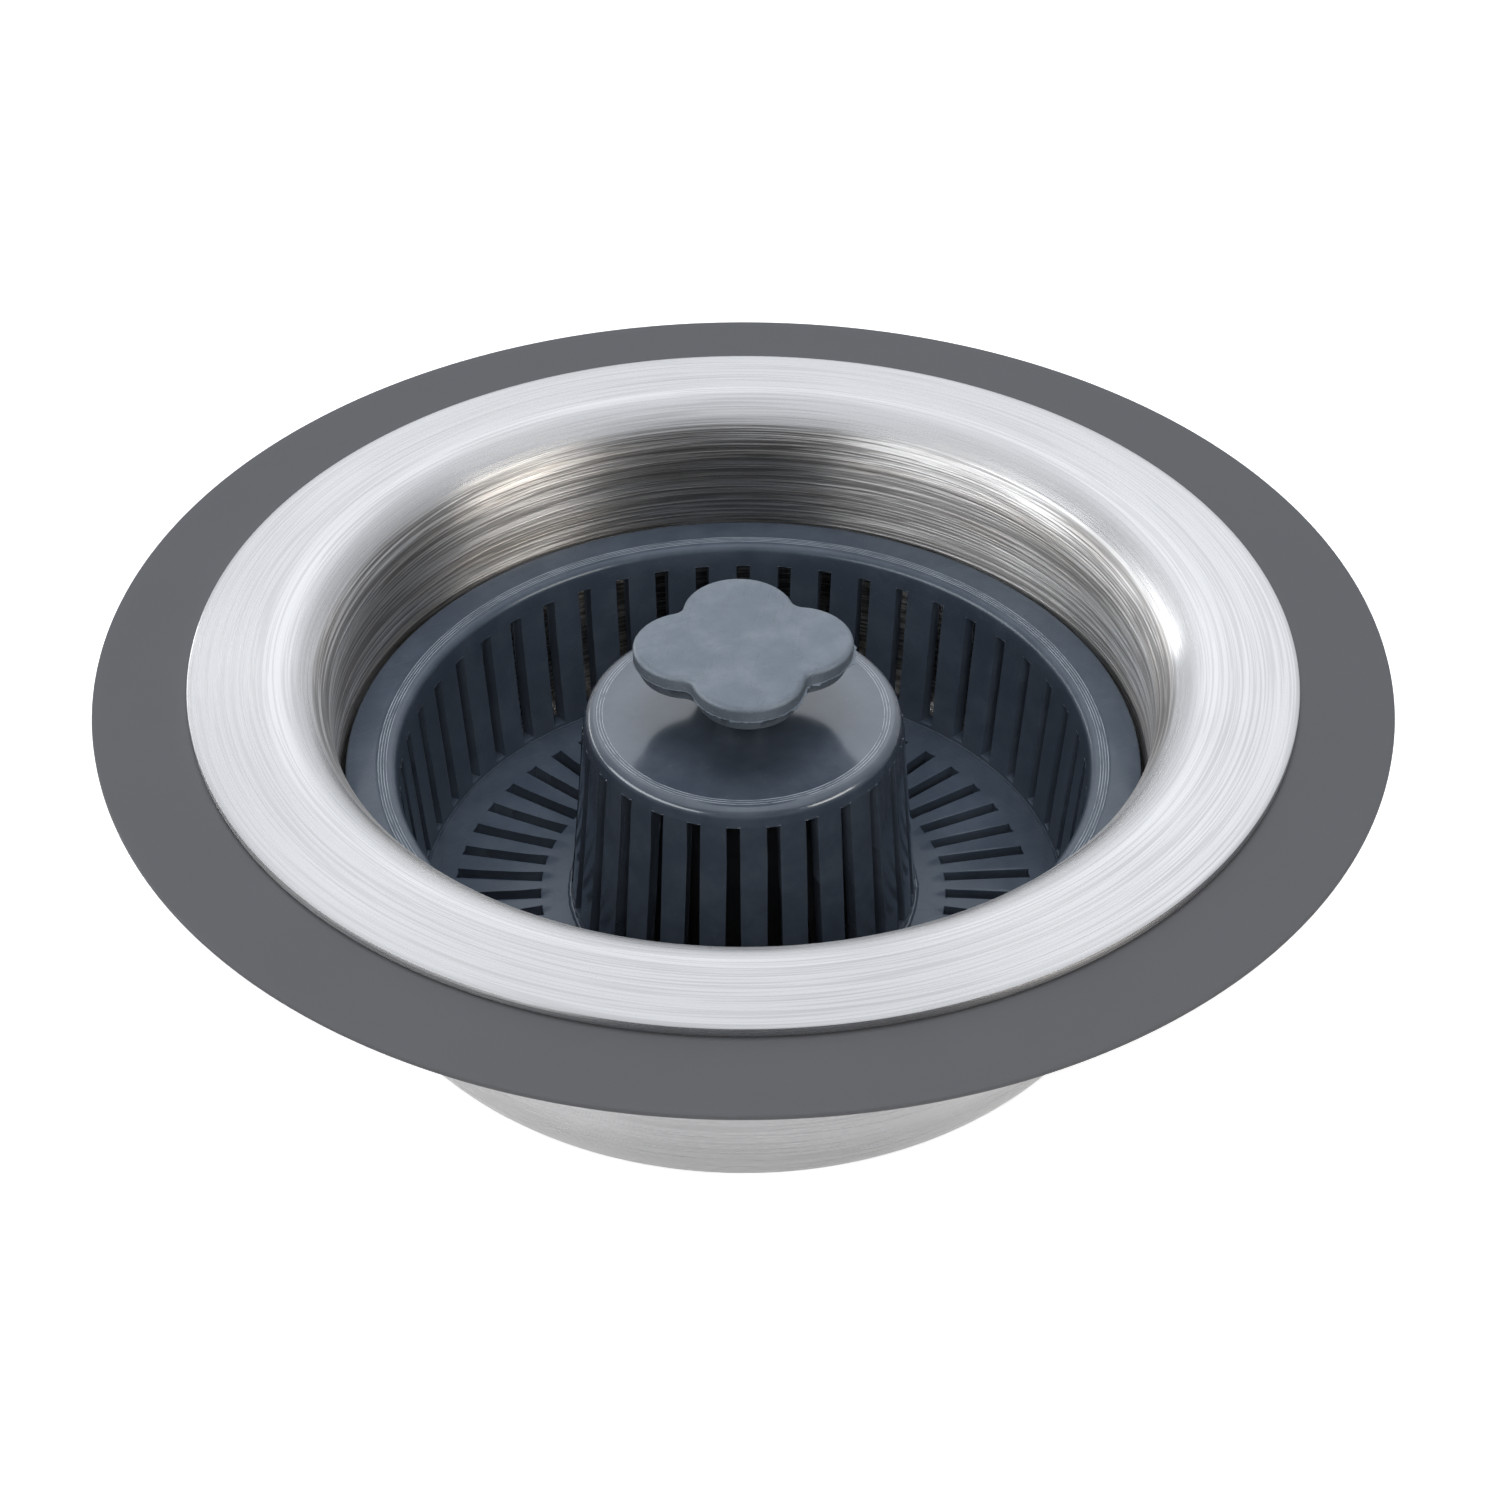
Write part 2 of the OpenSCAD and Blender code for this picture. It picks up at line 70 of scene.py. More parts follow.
MM = 0.001
WELD = 0.002
SEAM_WELD = 0.001
BEAD_PITCH = 0.9
SPOKES = 360
RIM_RINGS = (32.42, 32.66, 32.90, 33.14)
DOME_RINGS = (12.75, 13.0, 13.25)
FLOOR_TOP = 13.1
FLOOR_BASE = 11.6
WHITE = (1.0, 1.0, 1.0, 1.0)
EDGE_ANGLE = 40
BEAD_SPANS = (480, 10)
AIM = Vector((0, 0, 0.03))
Point2 = tuple[float, float]
Point3 = tuple[float, float, float]
Colour = tuple[float, float, float]
Piece = bpy.types.Object
Value = Union["Wire", float, int, Sequence[float]]


# Sections and meshes


def spread(low: float, high: float, steps: int) -> list[float]:
    """Gives evenly spaced values, both ends included."""
    return [low + (high - low) * i / steps for i in range(steps + 1)]


def arc(centre: Point2, radius: float, start: float, end: float, steps: int) -> list[Point2]:
    """Gives points along an arc of a section.

    Args:
        centre: Centre of the arc, as radius and height.
        radius: Radius of the arc.
        start: Angle of the first point, in degrees.
        end: Angle of the last point, in degrees.
        steps: Number of spans between the points.

    Returns:
        The points, both ends included.
    """
    turns = [math.radians(turn) for turn in spread(start, end, steps)]
    return [(centre[0] + radius * math.cos(t), centre[1] + radius * math.sin(t)) for t in turns]


def line(start: Point2, end: Point2, steps: int) -> list[Point2]:
    """Gives points along a straight part of a section, both ends included."""
    return list(zip(spread(start[0], end[0], steps), spread(start[1], end[1], steps)))


def ripple(turn: float) -> float:
    """Gives an uneven value from about -1 to 1 at an angle about the axis, in radians."""
    waves = ((7, 0.9), (13, 2.1), (29, 4.4), (53, 1.3), (97, 5.2))
    return sum(math.sin(n * turn + phase * 1.3) for n, phase in waves) / 3


def link(name: str, data: bpy.types.ID) -> Piece:
    """Makes an object of this data and links it to the scene."""
    made = bpy.data.objects.new(name, data)
    bpy.context.scene.collection.objects.link(made)
    return made


class Mould:
    """Gathers points and faces in millimetres, and turns them into an object in metres."""

    def __init__(self, name: str) -> None:
        """Starts an empty mould of that name."""
        self.name = name
        self.points: list[Point3] = []
        self.faces: list[tuple[int, ...]] = []

    def revolve(self, outline: Sequence[Point2]) -> None:
        """Turns a closed outline, given in order, round the axis."""
        size = len(outline)
        for i in range(SPOKES):
            turn = 2 * math.pi * i / SPOKES
            self.points += [(r * math.cos(turn), r * math.sin(turn), z) for r, z in outline]
        for i in range(SPOKES):
            here, there = i * size, (i + 1) % SPOKES * size
            for k in range(size):
                m = (k + 1) % size
                self.faces.append((here + k, there + k, there + m, here + m))

    def loft(self, rings: Sequence[Sequence[Point3]]) -> None:
        """Joins closed rings of equal size in order, and closes both ends at their middles."""
        size = len(rings[0])
        for ring in rings:
            self.points += list(ring)
        for i in range(len(rings) - 1):
            low, high = i * size, (i + 1) * size
            for k in range(size):
                m = (k + 1) % size
                self.faces.append((low + k, low + m, high + m, high + k))
        for i in (0, len(rings) - 1):
            start, centre = i * size, len(self.points)
            self.points.append(tuple(sum(axis) / size for axis in zip(*rings[i])))
            self.faces += [(start + k, start + (k + 1) % size, centre) for k in range(size)]

    def piece(self) -> Piece:
        """Makes the object, in metres, and links it to the scene."""
        mesh = bpy.data.meshes.new(self.name)
        mesh.from_pydata([tuple(v * MM for v in p) for p in self.points], [], self.faces)
        return link(self.name, mesh)


@dataclass(frozen=True)
class Sector:
    """One sector of a slotted wall: two skins, and the slot that runs through both.

    Attributes:
        name: Name of the piece that the sectors make.
        count: Number of sectors in a turn.
        face: Skin that shows, station by station.
        back: Skin behind it, with as many stations.
        half: Half width of the slot at each station.
        opens: Station at which the slot begins.
        closes: Station at which the slot ends.
        rib_steps: Spans across half a rib.
        slot_steps: Spans across the slot's own width.
    """

    name: str
    count: int
    face: Sequence[Point2]
    back: Sequence[Point2]
    half: Sequence[float]
    opens: int
    closes: int
    rib_steps: int = 3
    slot_steps: int = 2

    def row(self, skin: Sequence[Point2], station: int) -> list[Point3]:
        """Gives the points across the sector at one station of a skin."""
        radius, height = skin[station]
        held = min(max(station, self.opens), self.closes)
        edge = math.asin(self.half[held] / skin[held][0])
        side = math.pi / self.count
        left = spread(-side, -edge, self.rib_steps)[:-1]
        turns = left + spread(-edge, edge, self.slot_steps) + [-turn for turn in reversed(left)]
        return [(radius * math.cos(t), radius * math.sin(t), height) for t in turns]

    def build(self) -> Piece:
        """Makes the sector as an open shell, whose two sides meet its neighbours."""
        mould = Mould(self.name)
        stations = len(self.face)
        width = 2 * self.rib_steps + self.slot_steps + 1
        for skin in (self.face, self.back):
            for station in range(stations):
                mould.points += self.row(skin, station)

        def quad(*spots: tuple[int, int, int]) -> None:
            """Adds a face, each of its points given by skin, station and place across."""
            mould.faces.append(tuple((side * stations + i) * width + j for side, i, j in spots))

        slot = range(self.rib_steps, self.rib_steps + self.slot_steps)
        for i in range(stations - 1):
            for j in range(width - 1):
                if self.opens <= i < self.closes and j in slot:
                    continue
                quad((0, i, j), (0, i, j + 1), (0, i + 1, j + 1), (0, i + 1, j))
                quad((1, i, j), (1, i + 1, j), (1, i + 1, j + 1), (1, i, j + 1))
        for i in range(self.opens, self.closes):
            for j in (slot.start, slot.stop):
                quad((0, i, j), (0, i + 1, j), (1, i + 1, j), (1, i, j))
        for rows, places in (((self.opens, self.closes), slot), ((0, stations - 1), range(width - 1))):
            for i in rows:
                for j in places:
                    quad((0, i, j), (0, i, j + 1), (1, i, j + 1), (1, i, j))
        return mould.piece()


# Node trees


def operator(operation: str, swapped: bool = False) -> Callable[["Wire", Value], "Wire"]:
    """Gives an arithmetic method of wires, with its two values swapped if asked."""

    def method(self: "Wire", other: Value) -> "Wire":
        """Adds the Math node."""
        return self.graph.math(operation, *((other, self) if swapped else (self, other)))

    return method


class Wire:
    """A socket that carries a value, with the arithmetic of shader and shape trees."""

    __add__, __radd__ = operator("ADD"), operator("ADD", True)
    __sub__, __rsub__ = operator("SUBTRACT"), operator("SUBTRACT", True)
    __truediv__, __rtruediv__ = operator("DIVIDE"), operator("DIVIDE", True)
    __mul__, __pow__ = operator("MULTIPLY"), operator("POWER")

    def __init__(self, graph: "Graph", socket: bpy.types.NodeSocket) -> None:
        """Holds a socket and the graph that it belongs to."""
        self.graph = graph
        self.socket = socket

    def rise(self, low: float, high: float) -> "Wire":
        """Gives a smooth step from 0 at low to 1 at high, where low may be the larger."""
        start, end = (low, high) if low < high else (high, low)
        sockets = {"Value": self, "From Min": start, "From Max": end}
        step = self.graph.node("ShaderNodeMapRange", sockets, {"interpolation_type": "SMOOTHSTEP"})
        return step if low < high else 1 - step


class Graph:
    """Builds one node tree, through a single method for every kind of node."""

    def __init__(self, tree: bpy.types.NodeTree) -> None:
        """Empties the tree and holds it."""
        self.tree = tree
        tree.nodes.clear()

    def node(
        self,
        kind: str,
        sockets: dict[Any, Value] | None = None,
        settings: dict[str, Any] | None = None,
        output: Any = 0,
    ) -> Wire:
        """Adds a node.

        Args:
            kind: Type of the node.
            sockets: Values or wires of its inputs, by name or number.
            settings: Its properties, which are set first.
            output: Name or number of the output wanted.

        Returns:
            The wire of that output.
        """
        made = self.tree.nodes.new(kind)
        for name, value in (settings or {}).items():
            setattr(made, name, value)
        for name, value in (sockets or {}).items():
            if isinstance(value, Wire):
                self.tree.links.new(value.socket, made.inputs[name])
            else:
                made.inputs[name].default_value = value
        return Wire(self, made.outputs[output] if len(made.outputs) else made.inputs[0])

    def math(self, operation: str, *values: Value) -> Wire:
        """Adds a Math node that takes these values in order."""
        return self.node("ShaderNodeMath", dict(enumerate(values)), {"operation": operation})

    def arrows(self, operation: str, *values: Value, output: str = "Vector", **named: Value) -> Wire:
        """Adds a Vector Math node that takes these values in order, and its named ones."""
        sockets = {**dict(enumerate(values)), **named}
        return self.node("ShaderNodeVectorMath", sockets, {"operation": operation}, output)

    def split(self, vector: Wire) -> list[Wire]:
        """Gives the three parts of a vector."""
        made = self.node("ShaderNodeSeparateXYZ", {0: vector}).socket.node
        return [Wire(self, socket) for socket in made.outputs]

    def rays(self, *kinds: str) -> list[Wire]:
        """Gives, for each of these kinds, whether the ray is of it."""
        return [self.node("ShaderNodeLightPath", output=f"Is {kind} Ray") for kind in kinds]

    def vector(self, *parts: Value) -> Wire:
        """Makes a vector of three values."""
        return self.node("ShaderNodeCombineXYZ", dict(enumerate(parts)))

    def noise(self, place: Wire, detail: float = 2, rough: float = 0.5, w: Value | None = None) -> Wire:
        """Gives noise about 0.5, of unit scale.

        Args:
            place: Where it is read, already scaled.
            detail: Number of finer layers.
            rough: Strength of the finer layers.
            w: Fourth coordinate, or None.

        Returns:
            The noise.
        """
        sockets = {"Vector": place, "Scale": 1.0, "Detail": detail, "Roughness": rough}
        if w is None:
            return self.node("ShaderNodeTexNoise", sockets, output="Fac")
        return self.node("ShaderNodeTexNoise", sockets | {"W": w}, {"noise_dimensions": "4D"}, "Fac")

    def blend(self, share: Value, first: Value, second: Value) -> Wire:
        """Mixes two colours by a share."""
        first, second = (c if isinstance(c, Wire) else (*c, 1) for c in (first, second))
        return self.node("ShaderNodeMix", {0: share, 6: first, 7: second}, {"data_type": "RGBA"}, 2)


class Paint(Graph):
    """The tree of one material, in millimetres of Object coordinates."""

    def __init__(self, name: str) -> None:
        """Starts a material of that name."""
        self.material = bpy.data.materials.new(name)
        self.material.use_nodes = True
        super().__init__(self.material.node_tree)
        place = self.node("ShaderNodeTexCoord", output="Object")
        self.x, self.y, self.z = self.split(self.arrows("SCALE", place, Scale=1 / MM))
        self.radius = (self.x * self.x + self.y * self.y + 0.0001) ** 0.5
        self.c = self.x / self.radius
        self.s = self.y / self.radius

    def hairlines(self, pitch: float, reach: float, detail: float) -> Wire:
        """Gives streaks that run round the axis.

        Args:
            pitch: Distance from streak to streak, across them.
            reach: Share of a turn that a streak runs, roughly.
            detail: Number of finer layers.

        Returns:
            The streaks, about 0.5.
        """
        turn = 1 / (2 * math.pi * reach)
        place = self.vector(self.c * turn, self.s * turn, self.radius * (1 / pitch))
        return self.noise(place, detail, 0.6, self.z * (1 / pitch))

    def cloud(self, scale: float, detail: float = 2, rough: float = 0.5) -> Wire:
        """Gives noise that is even in all directions, with so many cells a millimetre."""
        return self.noise(self.vector(self.x * scale, self.y * scale, self.z * scale), detail, rough)

    def scratches(self, angle: float, pitch: float, length: float, share: float) -> Wire:
        """Gives thin straight scratches across the piece, seen from above.

        Args:
            angle: Their direction, in degrees from X.
            pitch: Distance between the streaks they are cut from.
            length: Their length.
            share: Level above which a streak counts as a scratch.

        Returns:
            1 on a scratch and 0 elsewhere.
        """
        c, s = math.cos(math.radians(angle)), math.sin(math.radians(angle))
        along, across = self.x * c + self.y * s, self.y * c - self.x * s
        place = self.vector(along * (1 / length), across * (1 / pitch), self.z * (0.5 / pitch))
        return self.noise(place, 1, 0.5).rise(share, share + 0.05)

    def inward(self) -> Wire:
        """Gives how far a face looks towards the axis, from -1 to 1."""
        normal = self.node("ShaderNodeTexCoord", output="Normal")
        return 0.0 - self.arrows("DOT_PRODUCT", normal, self.vector(self.c, self.s, 0.0), output="Value")

    def bump(self, height: Wire, depth: float) -> Wire:
        """Turns a height of 0 to 1 into a normal, with its depth in millimetres."""
        sockets = {"Height": height, "Strength": 1.0, "Distance": depth * MM}
        return self.node("ShaderNodeBump", sockets, output="Normal")

    def close(self, sockets: dict[str, Value]) -> bpy.types.Material:
        """Ends the material in a Principled shader with these sockets."""
        shader = self.node("ShaderNodeBsdfPrincipled", sockets)
        self.node("ShaderNodeOutputMaterial", {"Surface": shader})
        return self.material


@dataclass(frozen=True)
class Surface:
    """What all finishes have.

    Attributes:
        name: Name of the material.
        colour: Main colour.
    """

    name: str
    colour: Colour


@dataclass(frozen=True)
class DrawnSteel(Surface):
    """Finish of the drawn and brushed cup: hairlines round the axis; in the throat, broader bands and
    coarse streaks whose tan and dark tones are painted reflection.

    Attributes:
        tan: Warmer colour of some bands in the throat, a painted reflection of warm surroundings.
        dark: Colour of the coarse streaks in the throat, a painted reflection of dark surroundings laid
            on the brushing grain.
        streak: Colour of the fine streaks, which are brushing grain and are drawn stronger in the throat
            as painted reflection.
        rough: Roughness of the flange.
        throat_rough: Roughness of the throat.
        throat: How far a face leans inwards where the throat's finish begins and where it is full.
        fine: Pitch, reach and detail of the fine streaks.
        coarse: The same of the coarse streaks.
        bands: The same of the bands.
        depth: Depth of the streaks, in millimetres.
    """

    tan: Colour = (0.42, 0.37, 0.32)
    dark: Colour = (0.10, 0.096, 0.09)
    streak: Colour = (0.26, 0.258, 0.258)
    rough: float = 0.27
    throat_rough: float = 0.43
    throat: Point2 = (0.66, 0.86)
    fine: Point3 = (0.15, 0.07, 1)
    coarse: Point3 = (0.24, 0.09, 2)
    bands: Point3 = (2.6, 0.10, 3)
    depth: float = 0.012

    def make(self) -> bpy.types.Material:
        """Makes the material."""
        paint = Paint(self.name)
        inner = paint.inward().rise(*self.throat)
        fine, coarse, bands = (paint.hairlines(*kind) for kind in (self.fine, self.coarse, self.bands))
        worn = paint.cloud(0.08, 3)
        # Painted reflection: on faces that lean inwards (the throat), tan bands and dark coarse streaks
        # stand in for the warm and dark surroundings mirrored there, and the fine streaks are drawn
        # stronger. The streak pattern itself is brushing grain.
        base = paint.blend(inner * bands.rise(0.40, 0.70) * 0.5, self.colour, self.tan)
        base = paint.blend(inner * coarse.rise(0.49, 0.53) * 0.62, base, self.dark)
        base = paint.blend(fine.rise(0.52, 0.57) * (0.16 + inner * 0.5), base, self.streak)
        rough = self.rough + inner * (self.throat_rough - self.rough)
        rough = rough + (fine - 0.5) * 0.3 + (worn - 0.5) * 0.12
        height = fine * 0.6 + coarse * (0.1 + inner * 17.0)
        return paint.close({
            "Base Color": base,
            "Metallic": 1.0,
            "Roughness": rough,
            "Anisotropic": 0.9,
            "Anisotropic Rotation": 0.25,
            "Normal": paint.bump(height, self.depth),
        })


@dataclass(frozen=True)
class Moulded(Surface):
    """Finish of a moulded plastic piece.

    Attributes:
        worn: Colour towards which it is mottled.
        rough: Roughness.
        grain: Depth of the fine grain, in millimetres.
        scratch: Strength of the scratches, from 0 to 1.
        coat: Weight of the gloss over it.
        rings: Radii of the painted highlight lines that run round its top over its ring ridges, if any.
        line: Colour of those painted highlight lines.
        marks: Direction, pitch, length and share of each set of scratches.
    """

    worn: Colour
    rough: float
    grain: float = 0.01
    scratch: float = 0.4
    coat: float = 0.0
    rings: Sequence[float] = ()
    line: Colour = (0.30, 0.34, 0.38)
    marks: Sequence[Sequence[float]] = ((28, 0.16, 6, 0.66), (-52, 0.12, 4, 0.68), (80, 0.12, 4, 0.68))

    def make(self) -> bpy.types.Material:
        """Makes the material."""
        paint = Paint(self.name)
        cloud, grain = paint.cloud(0.25, 4, 0.6), paint.cloud(5)
        marks = sum(paint.scratches(*kind) for kind in self.marks)
        share = cloud.rise(0.35, 0.75) * 0.6 + marks * (0.35 * self.scratch)
        base = paint.blend(share, self.colour, self.worn)
        # Painted highlight: pale lines at the ring ridges' radii, broken at random round the turn, stand
        # in for the light that the ridges catch.
        for number, ring in enumerate(self.rings):
            off = paint.math("ABSOLUTE", paint.radius - ring + (cloud - 0.5) * 0.08)
            worn = paint.noise(paint.vector(paint.c * 9, paint.s * 9, float(number)), 3, 0.6)
            base = paint.blend(off.rise(0.05, 0.02) * worn.rise(0.2, 0.6), base, self.line)
        rough = self.rough + (cloud - 0.5) * 0.16 + marks * (0.12 * self.scratch)
        height = grain + cloud * 2 - marks * (1.5 * self.scratch)
        return paint.close({
            "Base Color": base,
            "Roughness": rough,
            "IOR": 1.5,
            "Specular Tint": (0.80, 0.91, 1.0, 1.0),
            "Coat Weight": self.coat,
            "Coat Roughness": 0.12,
            "Normal": paint.bump(height, self.grain),
        })


@dataclass(frozen=True)
class Rolled(Surface):
    """Finish of rolled silicone or rubber: nearly even, with a faint cloud and a fine grain.

    Attributes:
        rough: Roughness.
        grain: Depth of the grain, in millimetres.
    """

    rough: float = 0.62
    grain: float = 0.006

    def make(self) -> bpy.types.Material:
        """Makes the material."""
        paint = Paint(self.name)
        cloud, grain = paint.cloud(0.1, 3), paint.cloud(7)
        pale = tuple(v * 1.12 for v in self.colour)
        base = paint.blend(cloud.rise(0.3, 0.7) * 0.35 + (grain - 0.5) * 0.2, self.colour, pale)
        return paint.close({
            "Base Color": base,
            "Roughness": self.rough + (cloud - 0.5) * 0.1,
            "Specular IOR Level": 0.3,
            "Normal": paint.bump(grain, self.grain),
        })


@dataclass(frozen=True)
class Turned(Surface):
    """Finish of small turned or pressed metal pieces.

    Attributes:
        dull: Colour where it has dulled.
        rough: Roughness.
        pitch: Distance between the turning marks, in millimetres.
    """

    dull: Colour
    rough: float = 0.3
    pitch: float = 0.2

    def make(self) -> bpy.types.Material:
        """Makes the material."""
        paint = Paint(self.name)
        marks = paint.hairlines(self.pitch, 0.4, 2)
        cloud = paint.cloud(0.3, 4, 0.6)
        return paint.close({
            "Base Color": paint.blend(cloud.rise(0.4, 0.7) * 0.7, self.colour, self.dull),
            "Metallic": 1.0,
            "Roughness": self.rough + (marks - 0.5) * 0.25 + (cloud - 0.5) * 0.15,
            "Normal": paint.bump(marks, 0.01),
        })


class Finish(Enum):
    """The finishes of the strainer's pieces."""

    STEEL = DrawnSteel("drawn_steel", (0.655, 0.655, 0.66))
    GASKET = Rolled("grey_silicone", (0.094, 0.097, 0.1035))
    # BASKET and DOME draw painted highlight lines over their ring ridges.
    BASKET = Moulded(
        "slate_plastic", (0.044, 0.058, 0.08), (0.074, 0.093, 0.12), 0.34, 0.008, 0.6, 0.3,
        rings=RIM_RINGS,
    )
    DOME = Moulded(
        "glossy_slate_plastic", (0.05, 0.064, 0.086), (0.08, 0.097, 0.122), 0.2, 0.004, 0.3, 1.0,
        rings=DOME_RINGS,
    )
    KNOB = Moulded("pale_slate_plastic", (0.134, 0.161, 0.193), (0.234, 0.265, 0.304), 0.46, 0.016, 1.0)
    BLACK = Moulded("black_plastic", (0.018, 0.019, 0.021), (0.035, 0.036, 0.038), 0.42, 0.01, 0.3)
    NATURAL = Moulded("natural_plastic", (0.60, 0.59, 0.55), (0.68, 0.67, 0.63), 0.4, 0.008, 0.2)
    SEAL = Rolled("seal_silicone", (0.035, 0.036, 0.038), 0.5)
    BRASS = Turned("turned_brass", (0.60, 0.44, 0.20), (0.42, 0.31, 0.15))
    PLATE = Turned("pressed_steel", (0.60, 0.60, 0.60), (0.46, 0.46, 0.47), 0.34, 0.3)
    WIRE = Turned("spring_wire", (0.55, 0.55, 0.56), (0.40, 0.40, 0.42), 0.28, 0.1)

    def material(self) -> bpy.types.Material:
        """Gives the finish's material, made at its first use."""
        return bpy.data.materials.get(self.value.name) or self.value.make()


# Shape trees


class ShapeTree(Graph):
    """A Geometry Nodes tree with named inputs, which ends in Realize Instances and Set Material."""

    def __init__(self, name: str, inputs: Sequence[tuple[str, str]]) -> None:
        """Starts the tree.

        Args:
            name: Name of the tree.
            inputs: Name and kind of each input between the geometry and the material.
        """
        super().__init__(bpy.data.node_groups.new(name, "GeometryNodeTree"))
        face = self.tree.interface
        for label, kind in (("Geometry", "Geometry"), *inputs, ("Material", "Material")):
            face.new_socket(name=label, in_out="INPUT", socket_type=f"NodeSocket{kind}")
        face.new_socket(name="Geometry", in_out="OUTPUT", socket_type="NodeSocketGeometry")
        source = self.tree.nodes.new("NodeGroupInput")
        self.given = {socket.name: Wire(self, socket) for socket in source.outputs if socket.name}

    def end(self, shape: Wire, weld: Value) -> None:
        """Realizes the shape, welds it and gives it its material."""
        shape = self.node("GeometryNodeRealizeInstances", {"Geometry": shape})
        shape = self.node("GeometryNodeMergeByDistance", {"Geometry": shape, "Distance": weld})
        shape = self.node("GeometryNodeRealizeInstances", {"Geometry": shape})
        sockets = {"Geometry": shape, "Material": self.given["Material"]}
        self.node("NodeGroupOutput", {0: self.node("GeometryNodeSetMaterial", sockets)})

    def run(self, piece: Piece, bevel: float, **values: Any) -> Piece:
        """Runs the tree on a piece and turns the result into a plain mesh.

        Args:
            piece: Object that carries the tree's source geometry.
            bevel: Radius of its worn edges in millimetres, or 0.
            values: Values of the named inputs.

        Returns:
            The same object, with no modifier left.
        """
        worker = piece.modifiers.new("pattern", "NODES")
        worker.node_group = self.tree
        for item in self.tree.interface.items_tree:
            if item.in_out == "INPUT" and item.name in values:
                worker[item.identifier] = values[item.name]
        if bevel:
            edge = piece.modifiers.new("edge", "BEVEL")
            edge.width, edge.segments, edge.limit_method = bevel * MM, 2, "ANGLE"
            edge.angle_limit = math.radians(EDGE_ANGLE)
        bpy.context.view_layer.update()
        graph = bpy.context.evaluated_depsgraph_get()
        mesh = bpy.data.meshes.new_from_object(piece.evaluated_get(graph))
        piece.modifiers.clear()
        piece.data = mesh
        return piece


def sector_tree() -> ShapeTree:
    """Builds the tree that repeats one sector round the axis."""
    tree = ShapeTree("sectors_round_the_axis", (("Count", "Int"), ("Turn", "Float"), ("Weld", "Float")))
    points = tree.node("GeometryNodePoints", {"Count": tree.given["Count"]})
    index = tree.node("GeometryNodeInputIndex")
    turn = index * (2 * math.pi) / tree.given["Count"] + tree.given["Turn"]
    rotation = tree.node("FunctionNodeEulerToRotation", {0: tree.vector(0.0, 0.0, turn)})
    sockets = {"Points": points, "Instance": tree.given["Geometry"], "Rotation": rotation}
    tree.end(tree.node("GeometryNodeInstanceOnPoints", sockets), tree.given["Weld"])
    return tree


def bead_tree() -> ShapeTree:
    """Builds the tree that lays a ragged bead round the axis."""
    labels = ("Radius", "Height", "Thickness", "Ragged", "Pitch", "Weld")
    tree = ShapeTree("bead_round_the_axis", [(label, "Float") for label in labels])
    given = tree.given
    circle = "GeometryNodeCurvePrimitiveCircle"
    path = tree.node(circle, {"Resolution": BEAD_SPANS[0], "Radius": given["Radius"]})
    ring = tree.node(circle, {"Resolution": BEAD_SPANS[1], "Radius": given["Thickness"]})
    bead = tree.node("GeometryNodeCurveToMesh", {"Curve": path, "Profile Curve": ring})
    read = tree.arrows("SCALE", tree.node("GeometryNodeInputPosition"), Scale=1 / given["Pitch"])
    noise = tree.node("ShaderNodeTexNoise", {"Vector": read, "Scale": 1.0, "Detail": 2.0}, output="Color")
    shift = tree.arrows("SCALE", tree.arrows("SUBTRACT", noise, (0.5, 0.5, 0.5)), Scale=given["Ragged"])
    offset = tree.arrows("ADD", shift, tree.vector(0.0, 0.0, given["Height"]))
    bead = tree.node("GeometryNodeSetPosition", {"Geometry": bead, "Offset": offset})
    tree.end(bead, given["Weld"])
    return tree


# The bench


